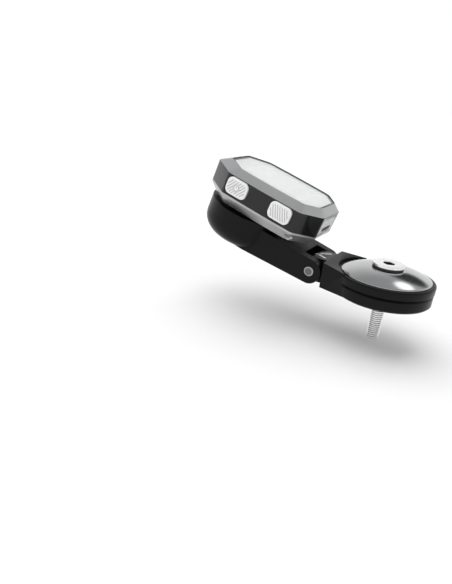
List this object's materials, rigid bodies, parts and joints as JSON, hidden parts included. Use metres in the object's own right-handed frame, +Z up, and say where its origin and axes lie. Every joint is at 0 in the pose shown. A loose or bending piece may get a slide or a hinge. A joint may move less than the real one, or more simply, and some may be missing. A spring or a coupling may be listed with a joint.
{
  "type": "cycling computer",
  "caption": "Eight-sided handlebar cycling computer on a quarter-turn cradle that tilts on a stem-cap base, with side buttons and a weather cap.",
  "frame": {"origin": "centre of the seat that rests on the stem, on the axis of the steerer bolt", "axes": "+Z up the steerer bolt's axis, +Y forward along the bicycle towards the computer, +X to the rider's right"},
  "size_m": [0.0452, 0.1178, 0.0722],
  "materials": {
    "bezel_metallic": "satin metallic grey paint on moulded plastic",
    "lens_clear": "clear, polished, hard coated",
    "seal_black": "matte black seal",
    "border_grey": "printed light grey film",
    "display_grey": "pale reflective liquid crystal panel, switched off",
    "diffuser_white": "white diffuser",
    "band_black": "satin black",
    "casing_silver": "silver grey paint",
    "button_white": "white, ribbed",
    "flap_grey": "soft light grey",
    "screw_steel": "bright",
    "board_green": "solder mask",
    "battery_foil": "laminated foil pouch",
    "foam_black": "closed cell foam",
    "shield_tin": "tinned sheet",
    "ceramic_cream": "fired ceramic",
    "part_black": "moulded electronic part",
    "ribbon_amber": "polyimide film",
    "switch_black": "moulded",
    "boss_grey": "moulded glass filled nylon",
    "insert_black": "moulded composite, semi gloss",
    "anodised_black": "bead blasted, black anodised",
    "cap_polished": "polished",
    "bolt_bright": "bright plated steel",
    "bolt_grey": "stainless steel",
    "washer_white": "low friction plastic"
  },
  "bodies": {
    "base": {"base_arm": "anodised_black", "hinge_washers": "washer_white", "top_cap": "cap_polished", "steerer_bolt": "bolt_bright", "disc_washer": "seal_black"},
    "cradle": {"cradle_arm": "anodised_black", "hinge_bolt": "bolt_grey", "quarter_turn_insert": "insert_black", "insert_screws": "screw_steel"},
    "computer": {"bezel": "bezel_metallic", "lens": "lens_clear", "lens_gasket": "seal_black", "screen_border": "border_grey", "display_panel": "display_grey", "backlight": "diffuser_white", "side_band": "band_black", "lower_casing": "casing_silver", "case_seal": "seal_black", "case_screws": "screw_steel", "vent_membrane": "washer_white", "circuit_board": "board_green", "battery_pad": "foam_black", "battery": "battery_foil", "radio_shield": "shield_tin", "satellite_antenna": "ceramic_cream", "buzzer": "part_black", "pressure_sensor": "part_black", "usb_socket": "shield_tin", "display_ribbon": "ribbon_amber", "button_seals": "seal_black", "button_switches": "switch_black", "weather_cap_pin": "screw_steel", "quarter_turn_boss": "boss_grey", "boss_screws": "screw_steel"},
    "weather_cap": {"weather_cap": "flap_grey"},
    "button_left_front": {"button_left_front": "button_white"},
    "button_left_rear": {"button_left_rear": "button_white"},
    "button_right_front": {"button_right_front": "button_white"},
    "button_right_rear": {"button_right_rear": "button_white"}
  },
  "joints": [
    {"name": "mount_tilt", "type": "hinge", "parent": "base", "child": "cradle", "pos_m": [0, 0.0328, 0.006], "axis": [1, 0, 0], "range_deg": [-12, 30]},
    {"name": "quarter_turn", "type": "hinge", "parent": "cradle", "child": "computer", "pos_m": [0, 0.07371, 0.02543], "axis": [0, -0.2835, 0.959], "range_deg": [0, 90]},
    {"name": "weather_cap_hinge", "type": "hinge", "parent": "computer", "child": "weather_cap", "pos_m": [0, 0.03195, 0.02914], "axis": [-1, 0, 0], "range_deg": [0, 95]},
    {"name": "button_left_front_press", "type": "slide", "parent": "computer", "child": "button_left_front", "axis": [1, 0, 0], "range_m": [0, 0.0008], "stiffness_N_per_m": 1500},
    {"name": "button_left_rear_press", "type": "slide", "parent": "computer", "child": "button_left_rear", "axis": [1, 0, 0], "range_m": [0, 0.0008], "stiffness_N_per_m": 1500},
    {"name": "button_right_front_press", "type": "slide", "parent": "computer", "child": "button_right_front", "axis": [-1, 0, 0], "range_m": [0, 0.0008], "stiffness_N_per_m": 1500},
    {"name": "button_right_rear_press", "type": "slide", "parent": "computer", "child": "button_right_rear", "axis": [-1, 0, 0], "range_m": [0, 0.0008], "stiffness_N_per_m": 1500}
  ]
}
